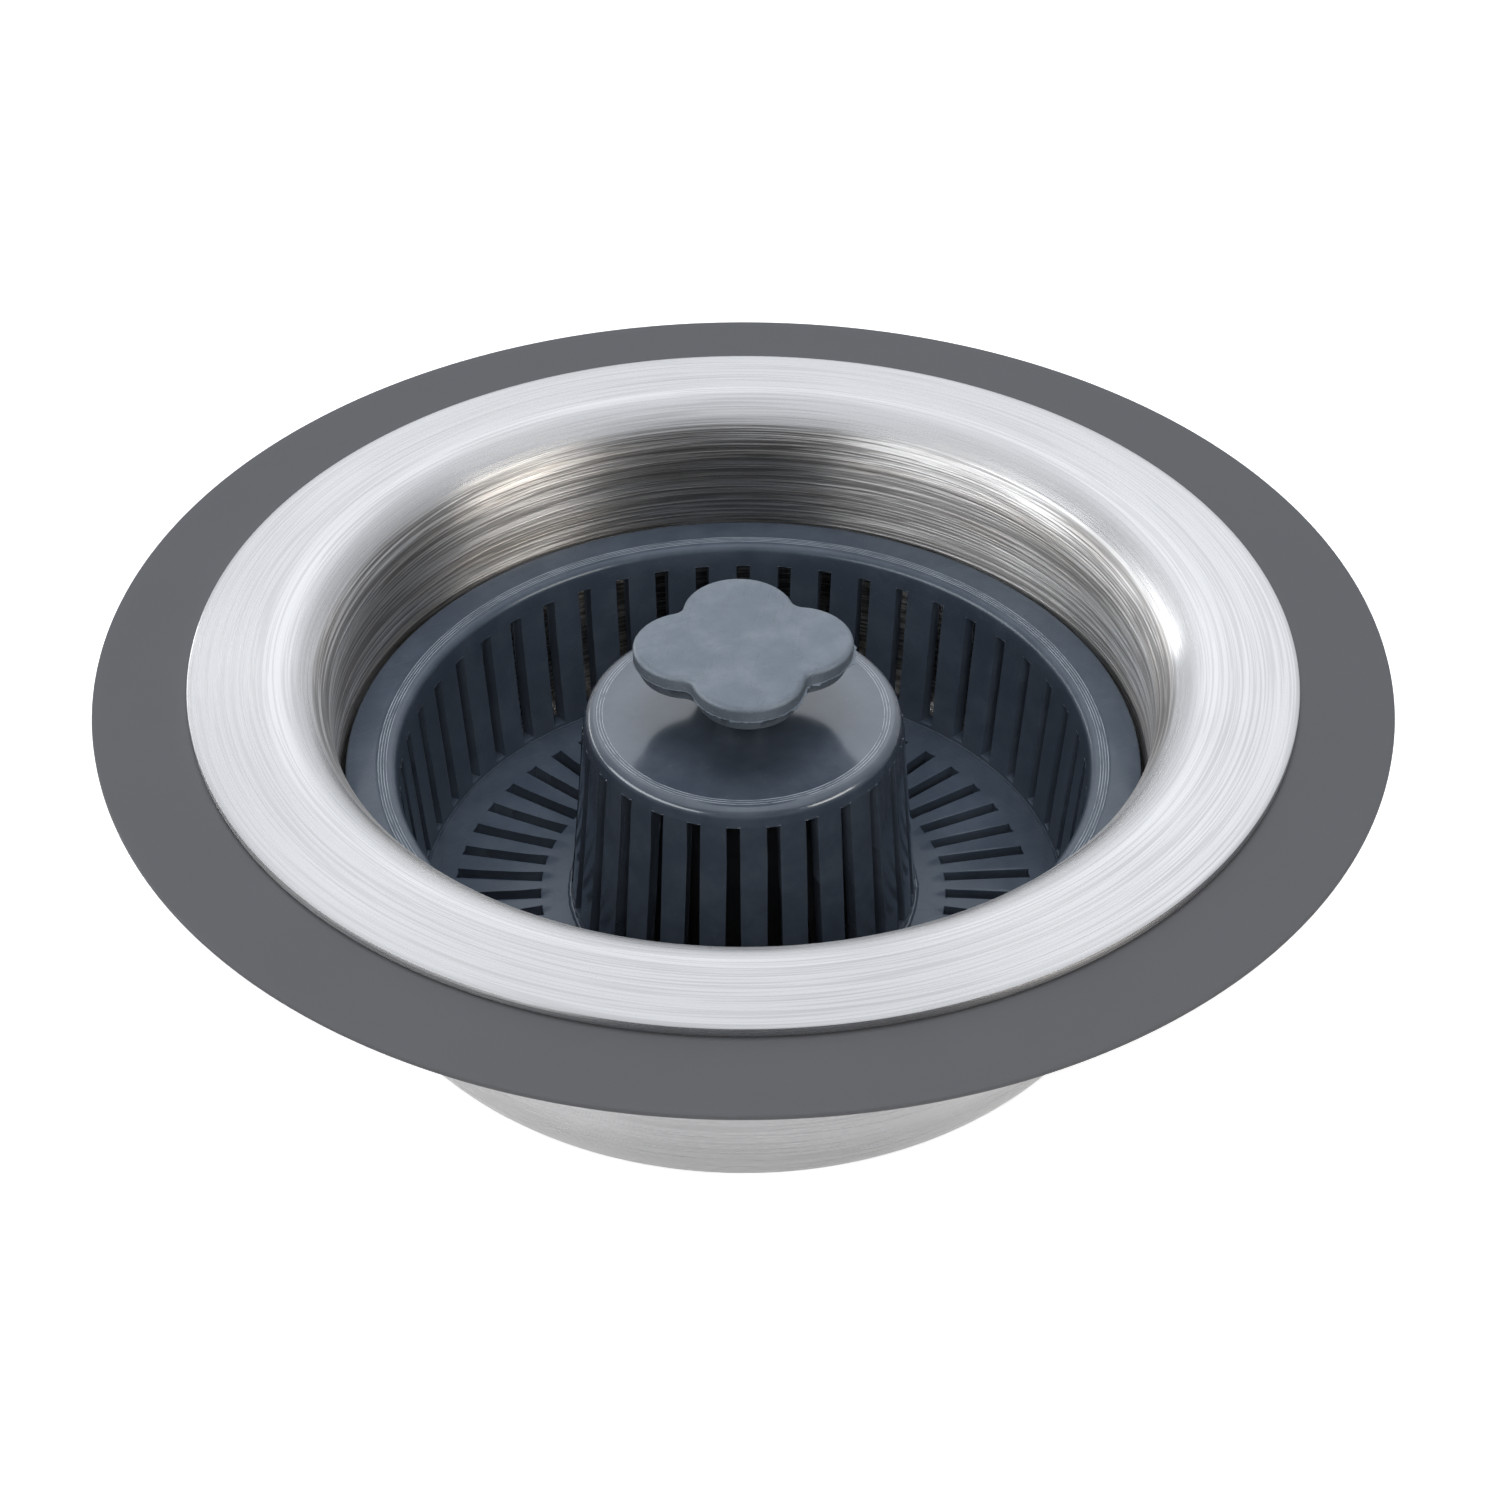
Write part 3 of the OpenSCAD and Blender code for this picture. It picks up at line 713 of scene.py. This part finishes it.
class Bench:
    """Takes finished meshes, and gives them their surface and their body."""

    def __init__(self, frame: dict[str, Any]) -> None:
        """Reads which body carries each node, and builds the shape trees."""
        groups = frame["record"]["behaviour"]["bodies"]
        self.nodes: dict[str, Piece] = frame["nodes"]
        self.body = {node: body for body, nodes in groups.items() for node in nodes}
        self.sectors = sector_tree()
        self.beads = bead_tree()

    def stand(self, piece: Piece, node: str, slot: str, finish: Finish, sharp: float = 38) -> None:
        """Finishes a piece that stands for a node of the frame.

        Args:
            piece: Object in metres, with its place in its mesh.
            node: Node that it stands for.
            slot: Material slot of the record; not used.
            finish: Its finish.
            sharp: Angle in degrees above which an edge stays sharp.
        """
        mesh = piece.data
        work = bmesh.new()
        work.from_mesh(mesh)
        bmesh.ops.remove_doubles(work, verts=work.verts, dist=WELD * MM)
        bmesh.ops.recalc_face_normals(work, faces=work.faces)
        work.to_mesh(mesh)
        work.free()
        mesh.shade_smooth()
        mesh.set_sharp_from_angle(angle=math.radians(sharp))
        mesh.materials.clear()
        mesh.materials.append(finish.material())
        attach(piece, self.body[node])
        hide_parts(node)
        log.info("%s stands for %s, %d faces", piece.name, node, len(mesh.polygons))

    def dress(self, node: str, finish: Finish) -> None:
        """Gives a node of the frame its finish and leaves its mesh alone."""
        piece = self.nodes[node]
        for place in piece.material_slots:
            place.material = finish.material()
        log.info("%s keeps its own mesh, in %s", node, finish.value.name)

    def bead(self, name: str, radius: float, height: float, thick: float, ragged: float) -> Piece:
        """Lays a ragged bead round the axis.

        Args:
            name: Name of the piece.
            radius: Radius of its path.
            height: Height of its path.
            thick: Radius of the bead itself.
            ragged: How far the bead strays from that.

        Returns:
            The bead.
        """
        sizes = {"Radius": radius, "Height": height, "Thickness": thick, "Ragged": ragged}
        sizes |= {"Pitch": BEAD_PITCH, "Weld": SEAM_WELD}
        return self.beads.run(Mould(name).piece(), 0, **{label: v * MM for label, v in sizes.items()})

    def repeat(self, sector: Sector, turn: float, bevel: float) -> Piece:
        """Repeats a sector round the axis.

        Args:
            sector: The sector.
            turn: Angle of the first slot, in degrees.
            bevel: Radius of the worn edges, in millimetres.

        Returns:
            The whole ring.
        """
        values = {"Count": sector.count, "Turn": math.radians(turn), "Weld": SEAM_WELD * MM}
        return self.sectors.run(sector.build(), bevel, **values)


# Sub-assemblies


@dataclass(frozen=True)
class SteelCup:
    """The drawn steel cup: collar, floor, wall, roll and flange, of one sheet."""

    flange_r: float = 49.0
    flange_h: float = 41.35
    fall: float = 4.0
    sheet_t: float = 0.9
    throat_r: float = 36.8
    roll_r: float = 5.5
    corner_r: float = 9.0
    collar_h: float = 8.2
    outlet_r: float = 20.6
    bend_r: float = 2.0
    foot_round: float = 0.12
    straight: Point2 = (22.0, 34.0)

    def section(self) -> list[Point2]:
        """Gives the sheet's section, from the collar's foot up inside and back down outside."""
        t = self.sheet_t
        c, s = math.cos(math.radians(self.fall)), math.sin(math.radians(self.fall))
        roll_x = self.throat_r + self.roll_r
        slab = (self.flange_r - roll_x - self.roll_r * s) / c
        roll_z = self.flange_h + slab * s - self.roll_r * c

        def edge(inward: float, down: float) -> Point2:
            """Gives a point at the flange's edge, from its upper corner along the slab and through it."""
            return (self.flange_r - inward * c - down * s, self.flange_h + inward * s - down * c)

        out, foot = self.outlet_r, self.foot_round
        bend = (out + self.bend_r, self.collar_h + t - self.bend_r)
        corner = (self.throat_r + t - self.corner_r, self.collar_h + self.corner_r)
        inside = [(out, foot)] + arc(bend, self.bend_r, 180, 90, 8)
        inside += arc(corner, self.corner_r - t, -90, 0, 16)
        inside += [(self.throat_r, z) for z in spread(*self.straight, 2)]
        inside += arc((roll_x, roll_z), self.roll_r, 180, 90 - self.fall, 28)
        inside += line(edge(slab - 0.4, 0.0), edge(0.5, 0.0), 3)
        inside += [edge(0.16, 0.01), edge(0.05, 0.05), edge(0.01, 0.16), edge(0.0, 0.45)]
        inside += [edge(0.01, t - 0.1), edge(0.04, t - 0.02), edge(0.14, t)]
        outside = [edge(0.5, t), edge(slab - 0.4, t)]
        outside += arc((roll_x, roll_z), self.roll_r - t, 90 - self.fall, 180, 20)
        outside += arc(corner, self.corner_r, 0, -90, 18)
        outside += arc(bend, self.bend_r - t, 90, 180, 6)
        outside += [(out + t, foot), (out + t - foot, 0.0), (out + foot, 0.0)]
        return inside + outside

    def build(self, bench: Bench) -> None:
        """Makes the cup and places it."""
        mould = Mould("steel_cup")
        mould.revolve(self.section())
        bench.stand(mould.piece(), "cup_shell", "cup_steel", Finish.STEEL, 50)


@dataclass(frozen=True)
class SheetGasket:
    """The flat sheet ring under the flange."""

    inner_r: float = 40.61
    outer_r: float = 57.25
    top: float = 40.35
    thick: float = 0.5
    edge: float = 0.1
    margin: float = 1.0

    def build(self, bench: Bench) -> None:
        """Makes the gasket and places it."""
        e, margin = self.edge, self.margin
        near, far = self.inner_r + e, self.outer_r - e
        low, high = self.top - self.thick + e, self.top - e
        outline = arc((far, low), e, -90, 0, 3) + arc((far, high), e, 0, 90, 3)
        outline += line((self.outer_r - margin, self.top), (self.inner_r + margin, self.top), 8)
        outline += arc((near, high), e, 90, 180, 3) + arc((near, low), e, 180, 270, 3)
        mould = Mould("sheet_gasket")
        mould.revolve(outline)
        bench.stand(mould.piece(), "flange_gasket", "gasket_silicone", Finish.GASKET, 60)


@dataclass(frozen=True)
class Basket:
    """The lift-out basket's bowl: rim with its rings, slotted wall and slotted floor."""

    rim_r: float = 36.1
    rim_top: float = 30.0
    rim_t: float = 2.0
    rim_fall: float = 0.1
    rim_round: float = 0.8
    floor: float = FLOOR_TOP
    base: float = FLOOR_BASE
    foot_r: float = 30.2
    draft: float = 4.2
    thick: float = 1.5
    bore_r: float = 15.76
    wall_slots: int = 48
    wall_slot_w: float = 1.3
    wall_slot: Point2 = (13.6, 27.9)
    floor_slots: int = 50
    floor_slot_w: float = 1.25
    floor_slot: Point2 = (19.1, 27.2)
    ring_h: float = 0.03
    ring_half: float = 0.06
    edge: float = 0.3
    wall_bevel: float = 0.05
    floor_bevel: float = 0.06
    seam: Point2 = (0.09, 0.08)

    def inside(self, height: float) -> Point2:
        """Gives the point of the wall's inner face at a height."""
        return (self.foot_r + (height - self.floor) * math.tan(math.radians(self.draft)), height)

    def outside(self, height: float) -> Point2:
        """Gives the point of the wall's outer face at a height."""
        return (self.inside(height)[0] + self.thick / math.cos(math.radians(self.draft)), height)

    def rim(self) -> list[Point2]:
        """Gives the rim's upper face, from the wall's inner edge out, with its ring lines."""
        lip = self.inside(self.rim_top)[0]
        path = arc((lip + self.rim_round, self.rim_top - self.rim_round), self.rim_round, 172, 90, 9)
        half, edge, top = self.ring_half, self.edge, self.rim_top
        for ring in RIM_RINGS:
            path += [(ring - half, top), (ring, top + self.ring_h), (ring + half, top)]
        path += line((RIM_RINGS[-1] + edge, top), (self.rim_r - edge, top - self.rim_fall), 3)
        return path + arc((self.rim_r - edge, top - self.rim_fall - edge), edge, 70, 0, 4)

    def wall(self) -> Sector:
        """Gives one sector of the rim and the wall."""
        low, high = self.wall_slot
        heights = spread(low, high, 4)
        face = [(self.foot_r - 0.06, self.base), (self.foot_r, self.floor)]
        face += [self.inside(h) for h in heights] + [self.inside(high + 0.7)]
        rim = self.rim()
        under = self.rim_top - self.rim_t
        back = [(self.outside(self.base)[0] - 0.75, self.base), self.outside(self.base + 0.75)]
        back += [self.outside(h) for h in heights[:-1]] + [self.outside(high - 0.35)]
        start = (self.outside(under)[0] + 0.3, under)
        back += line(start, (self.rim_r - 0.02, under), len(rim))
        half = [self.wall_slot_w / 2] * len(back)
        return Sector("basket_wall", self.wall_slots, face + rim, back, half, opens=2, closes=6)

    def bottom(self) -> Sector:
        """Gives one sector of the floor."""
        radii = [self.bore_r, 17.6] + spread(*self.floor_slot, 4) + [28.7, self.foot_r - 0.1]
        face, back = ([(r, height) for r in radii] for height in (self.floor, self.base))
        half = [self.floor_slot_w / 2] * len(radii)
        return Sector("basket_floor", self.floor_slots, face, back, half, opens=2, closes=6)

    def build(self, bench: Bench) -> None:
        """Makes the bowl's pieces and places them."""
        node, slot = "basket_bowl", "basket_plastic"
        bench.stand(bench.repeat(self.wall(), 90, self.wall_bevel), node, slot, Finish.BASKET)
        bench.stand(bench.repeat(self.bottom(), 90, self.floor_bevel), node, slot, Finish.BASKET)
        seam = bench.bead("basket_seam", self.foot_r - 0.02, self.floor, *self.seam)
        bench.stand(seam, node, slot, Finish.BASKET, 80)


@dataclass(frozen=True)
class Dome:
    """The slotted dome over the core, set in the basket's floor with a ragged bead."""

    foot_r: float = 16.2
    top_r: float = 14.4
    floor: float = FLOOR_TOP
    base: float = FLOOR_BASE
    shoulder: float = 34.0
    rise: float = 0.5
    round_r: float = 1.0
    thick: float = 1.4
    spigot_r: float = 15.71
    stem_r: float = 2.6
    hole_r: float = 2.05
    slots: int = 26
    slot_widths: Point2 = (1.6, 1.15)
    slot: Point2 = (13.8, 32.4)
    turn: float = -93.5
    ring_h: float = 0.035
    ring_half: float = 0.07
    bevel: float = 0.08
    beading: Point2 = (0.26, 0.3)

    def outside(self, height: float) -> Point2:
        """Gives the point of the dome's outer face at a height."""
        lean = (self.foot_r - self.top_r) / (self.shoulder - self.floor)
        return (self.foot_r - (height - self.floor) * lean, height)

    def inside(self, height: float) -> Point2:
        """Gives the point of the dome's inner face at a height."""
        foot, top = self.foot_r - self.thick, self.top_r - self.thick
        under = self.shoulder - self.thick
        return (foot - (height - self.floor) * (foot - top) / (under - self.floor), height)

    def top(self) -> list[Point2]:
        """Gives the dome's upper face, from its shoulder in to the stem, with its ring lines."""
        middle = (self.top_r - self.round_r, self.shoulder - self.round_r)
        path = arc(middle, self.round_r, 5, 90, 9)

        def crown(radius: float) -> float:
            """Gives the height of the top at a radius."""
            return self.shoulder + self.rise * (middle[0] - radius) / (middle[0] - self.stem_r)

        for ring in reversed(DOME_RINGS):
            far, near = ring + self.ring_half, ring - self.ring_half
            path += [(far, crown(far)), (ring, crown(ring) + self.ring_h), (near, crown(near))]
        path += [(r, crown(r)) for r in (11.0, 8.0, 5.0, self.stem_r)]
        return path + [(self.hole_r, crown(self.stem_r))]

    def sector(self) -> Sector:
        """Gives one sector of the dome."""
        low, high = self.slot
        heights = spread(low, high, 5)
        face = [(self.spigot_r, self.base), (self.spigot_r, self.floor), (self.foot_r, self.floor)]
        face += [self.outside(h) for h in heights]
        back = [(self.foot_r - self.thick, h) for h in (self.base, self.base + 0.7, self.floor)]
        back += [self.inside(h) for h in heights[:-1]] + [self.inside(high - 0.3)]
        top = self.top()
        under = self.shoulder - self.thick
        back += line((self.top_r - self.thick, under), (self.hole_r, under), len(top) - 1)
        wide, narrow = self.slot_widths
        half = [w / 2 for w in [wide] * 3 + spread(wide, narrow, 5) + [narrow] * len(top)]
        return Sector(
            "dome", self.slots, face + top, back, half, opens=3, closes=8, rib_steps=4, slot_steps=4
        )

    def build(self, bench: Bench) -> None:
        """Makes the dome and its bead, and places them."""
        node, slot = "centre_dome", "dome_plastic"
        bench.stand(bench.repeat(self.sector(), self.turn, self.bevel), node, slot, Finish.DOME)
        bead = bench.bead("dome_bead", self.foot_r + 0.1, self.floor + 0.02, *self.beading)
        bench.stand(bead, node, slot, Finish.DOME, 80)


@dataclass(frozen=True)
class PullKnob:
    """The four-lobed knob on its stem."""

    lobe_r: float = 5.05
    reach: float = 4.8
    fillet_r: float = 1.2
    top: float = 41.85
    base: float = 39.05
    parting: float = 40.4
    draw: float = 0.55
    round_r: float = 0.55
    turn: float = 5.0
    stem_r: float = 2.6
    stem_foot: float = 34.5
    spigot_r: float = 2.0
    spigot_foot: float = 32.6
    flash: float = 0.3
    crown: Sequence[Point2] = ((0.9, 0.02), (0.6, 0.03), (0.25, 0.03))

    def outline(self) -> tuple[list[Point2], list[Point2]]:
        """Gives the knob's outline from above, and the outward direction at each of its points."""
        slant = math.sqrt(0.5)
        across = self.reach * slant
        notch = (across + math.sqrt((self.lobe_r + self.fillet_r) ** 2 - across**2)) * slant
        lean = math.degrees(math.atan2(notch, notch - self.reach))
        tip, nook = (self.reach, 0.0), (notch, notch)
        points: list[Point2] = []
        normals: list[Point2] = []
        for lobe in range(4):
            base = self.turn + 90 * lobe
            hollow = arc(nook, self.fillet_r, 180 + lean, 270 - lean, 12)[1:-1]
            spots = [(p, 1.0, tip) for p in arc(tip, self.lobe_r, -lean, lean, 44)]
            spots += [(p, -1.0, nook) for p in hollow]
            c, s = math.cos(math.radians(base)), math.sin(math.radians(base))
            for (x, y), way, (mx, my) in spots:
                nx, ny = way * (x - mx), way * (y - my)
                size = math.hypot(nx, ny)
                points.append((x * c - y * s, x * s + y * c))
                normals.append(((nx * c - ny * s) / size, (nx * s + ny * c) / size))
        return points, normals

    def build(self, bench: Bench) -> None:
        """Makes the knob and places it."""
        points, normals = self.outline()
        turns = [math.atan2(y, x) for x, y in points]

        def ring(inset: float, height: float, fin: float = 0.0) -> list[Point3]:
            """Gives the outline drawn in by an inset, with an uneven fin where one is asked for."""
            made = []
            for (x, y), (nx, ny), turn in zip(points, normals, turns):
                heavy = 0.55 + 0.45 * math.cos(turn - math.radians(self.turn))
                out = fin * heavy * max(0.1, 0.5 + ripple(turn)) - inset
                made.append((x + nx * out, y + ny * out, height))
            return made

        def disc(radius: float, height: float) -> list[Point3]:
            """Gives a round ring with a point for each point of the outline."""
            return [(radius * math.cos(t), radius * math.sin(t), height) for t in turns]

        def shrunk(share: float, height: float) -> list[Point3]:
            """Gives the outline drawn in by the upper edge and shrunk towards the axis."""
            return [(x * share, y * share, height) for x, y, _ in ring(self.round_r, height)]

        stem, foot, base, draw, mid = self.stem_r, self.stem_foot, self.base, self.draw, self.parting
        rounds = [(self.spigot_r, self.spigot_foot), (self.spigot_r, foot), (stem + 0.25, foot + 0.01)]
        rounds += [(stem, foot + 0.25), (stem, base - 0.3), (stem + 0.3, base)]
        lobed = [(draw + 0.9, base), (draw + 0.2, base), (draw + 0.06, base + 0.06), (draw, base + 0.2)]
        lobed += [(0.02, mid - 0.04), (0.0, mid - 0.02, self.flash)]
        lobed += [(0.0, mid + 0.02, self.flash), (0.02, mid + 0.04)]
        edge = self.top - self.round_r
        lobed += [(-x, z) for x, z in arc((-self.round_r, edge), self.round_r, 0, 90, 8)]
        rings = [disc(*spot) for spot in rounds] + [ring(*spot) for spot in lobed]
        rings += [shrunk(share, self.top + rise) for share, rise in self.crown]
        mould = Mould("pull_knob_head")
        mould.loft(rings)
        bench.stand(mould.piece(), "pull_knob", "knob_plastic", Finish.KNOB, 45)


@dataclass(frozen=True)
class ClickCore:
    """The hidden click core, the stopper on it and the spider under it, which keep the frame's meshes."""

    dressed: Sequence[tuple[Finish, Sequence[str]]] = (
        (Finish.PLATE, ("outlet_spider", "core_washer", "hat_screw")),
        (Finish.BRASS, ("core_barrel", "core_nut", "core_rotor")),
        (Finish.BLACK, ("core_gland", "stopper_hat")),
        (Finish.SEAL, ("core_o_ring", "stopper_seal")),
        (Finish.WIRE, ("core_spring",)),
        (Finish.NATURAL, ("core_plunger",)),
    )

    def build(self, bench: Bench) -> None:
        """Gives each node its finish."""
        for finish, nodes in self.dressed:
            for node in nodes:
                bench.dress(node, finish)


# Studio


@dataclass(frozen=True)
class Softbox:
    """One soft lamp, placed round the strainer and turned to it.

    Attributes:
        name: Name of the lamp.
        azimuth: Direction from the strainer, in degrees from +Y towards +X.
        elevation: Height over the horizon, in degrees.
        size: Width and height of its face, in metres.
        level: Brightness of its face, where 1 is white.
        colour: Its colour.
        distance: Distance from the strainer, in metres.
        shine: Whether glossy faces mirror it.
        fill: Whether it lights matte faces.
    """

    name: str
    azimuth: float
    elevation: float
    size: Point2
    level: float
    colour: Colour = (1.0, 1.0, 1.0)
    distance: float = 0.9
    shine: bool = True
    fill: bool = True

    def place(self) -> None:
        """Makes the lamp."""
        lamp = bpy.data.lights.new(self.name, "AREA")
        lamp.shape = "RECTANGLE"
        lamp.size, lamp.size_y = self.size
        lamp.energy = self.level * math.pi * self.size[0] * self.size[1]
        lamp.color = self.colour
        stand = link(self.name, lamp)
        az, el = math.radians(self.azimuth), math.radians(self.elevation)
        aim = Vector((math.sin(az) * math.cos(el), math.cos(az) * math.cos(el), math.sin(el)))
        stand.location = aim * self.distance + AIM
        stand.rotation_euler = aim.to_track_quat("Z", "Y").to_euler()
        stand.visible_camera = False
        stand.visible_glossy = self.shine
        stand.visible_diffuse = self.fill


@dataclass(frozen=True)
class Studio:
    """Pale floor, soft lamps and the camera at the photograph's viewing angle."""

    camera_place: Point3 = (0.0, -0.22006, 0.20575)
    camera_tilt: float = 51.30
    lens: float = 74.2
    sensor: float = 36.0
    shift: float = 0.00447
    clip: Point2 = (0.01, 30.0)
    floor_r: float = 3.0
    floor_sides: int = 96
    floor_gloss: float = 0.22
    floor_fade: Point2 = (150.0, 500.0)
    lamps: Sequence[Softbox] = (
        Softbox("back_window", 4, 40, (0.62, 0.42), 0.5, (0.97, 0.985, 1.02)),
        Softbox("right_box", 118, 17, (0.50, 0.46), 6.0, (1.0, 0.95, 0.88), fill=False),
        Softbox("left_box", -115, 18, (1.25, 0.50), 4.3, fill=False),
        Softbox("left_strip", -57, 10, (0.7, 0.28), 4.6, fill=False),
        Softbox("overhead", 0, 84, (0.5, 0.5), 5.4, (0.96, 0.98, 1.03), shine=False),
        Softbox("front_fill", 180, 40, (0.6, 0.3), 7.4, (1.0, 0.98, 0.98), shine=False),
    )

    def view(self) -> None:
        """Makes the camera."""
        lens = bpy.data.cameras.new("photo_camera")
        lens.lens, lens.sensor_width, lens.sensor_fit = self.lens, self.sensor, "HORIZONTAL"
        lens.shift_x = self.shift
        lens.clip_start, lens.clip_end = self.clip
        camera = link("photo_camera", lens)
        camera.location = self.camera_place
        camera.rotation_euler = (math.radians(self.camera_tilt), 0.0, 0.0)
        bpy.context.scene.camera = camera

    def floor(self) -> None:
        """Makes the floor: white to the eye, dim in reflections, its shadows kept near the strainer."""
        mould = Mould("studio_floor")
        ring = arc((0.0, 0.0), self.floor_r / MM, 0, 360, self.floor_sides)[:-1]
        mould.points = [(x, y, 0.0) for x, y in ring]
        mould.faces = [tuple(range(self.floor_sides))]
        piece = mould.piece()
        paint = Paint("studio_floor")
        seen, gloss, clear = paint.rays("Camera", "Glossy", "Transmission")
        glow = paint.math("MINIMUM", seen + clear, 1.0) + gloss * self.floor_gloss
        cloud = paint.noise(paint.vector(paint.x * 0.01, paint.y * 0.01, 0.0), 2)
        pale = paint.blend(cloud, (0.88, 0.88, 0.88), (0.90, 0.90, 0.90))
        sockets = {"Base Color": pale, "Roughness": 0.9, "Specular IOR Level": 0.1}
        diffuse = paint.node("ShaderNodeBsdfPrincipled", sockets)
        glow = glow * (paint.radius.rise(*self.floor_fade) * 0.4 + 0.6)
        light = paint.node("ShaderNodeEmission", {"Color": WHITE, "Strength": glow})
        both = paint.node("ShaderNodeAddShader", {0: diffuse, 1: light})
        paint.node("ShaderNodeOutputMaterial", {"Surface": both})
        piece.data.materials.append(paint.material)

    def room(self) -> None:
        """Makes the room's own light: pale behind and overhead, darker at the sides and in front."""
        world = bpy.data.worlds.new("studio_room")
        bpy.context.scene.world = world
        world.use_nodes = True
        sky = Graph(world.node_tree)
        x, y, z = sky.split(sky.node("ShaderNodeTexCoord", output="Generated"))
        ceiling = z.rise(0.60, 0.82) * y.rise(-0.56, -0.42)
        back = sky.math("MAXIMUM", ceiling, y.rise(-0.42, -0.08))
        seen, matte = sky.rays("Camera", "Diffuse")
        level = (0.05 + back * (0.90 - x * x * 0.7)) * (1 - matte * 0.6)
        tint = sky.blend(back, (1.0, 0.95, 0.90), (0.96, 0.985, 1.03))
        dim = sky.node("ShaderNodeBackground", {"Color": tint, "Strength": level})
        white = sky.node("ShaderNodeBackground", {"Color": WHITE, "Strength": 1.0})
        both = sky.node("ShaderNodeMixShader", {0: seen, 1: dim, 2: white})
        sky.node("ShaderNodeOutputWorld", {"Surface": both})

    def build(self) -> None:
        """Makes the whole studio."""
        bpy.context.scene.view_settings.view_transform = "Standard"
        self.view()
        self.floor()
        self.room()
        for lamp in self.lamps:
            lamp.place()
        log.info("studio with %d lamps", len(self.lamps))


def main() -> None:
    """Loads the frame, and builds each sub-assembly round it."""
    logging.basicConfig(level=logging.INFO, format="%(name)s: %(message)s")
    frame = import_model()
    bench = Bench(frame)
    for assembly in (SteelCup(), SheetGasket(), Basket(), Dome(), PullKnob(), ClickCore()):
        assembly.build(bench)
        log.info("%s is done", type(assembly).__name__)
    Studio().build()


if __name__ == "__main__":
    main()
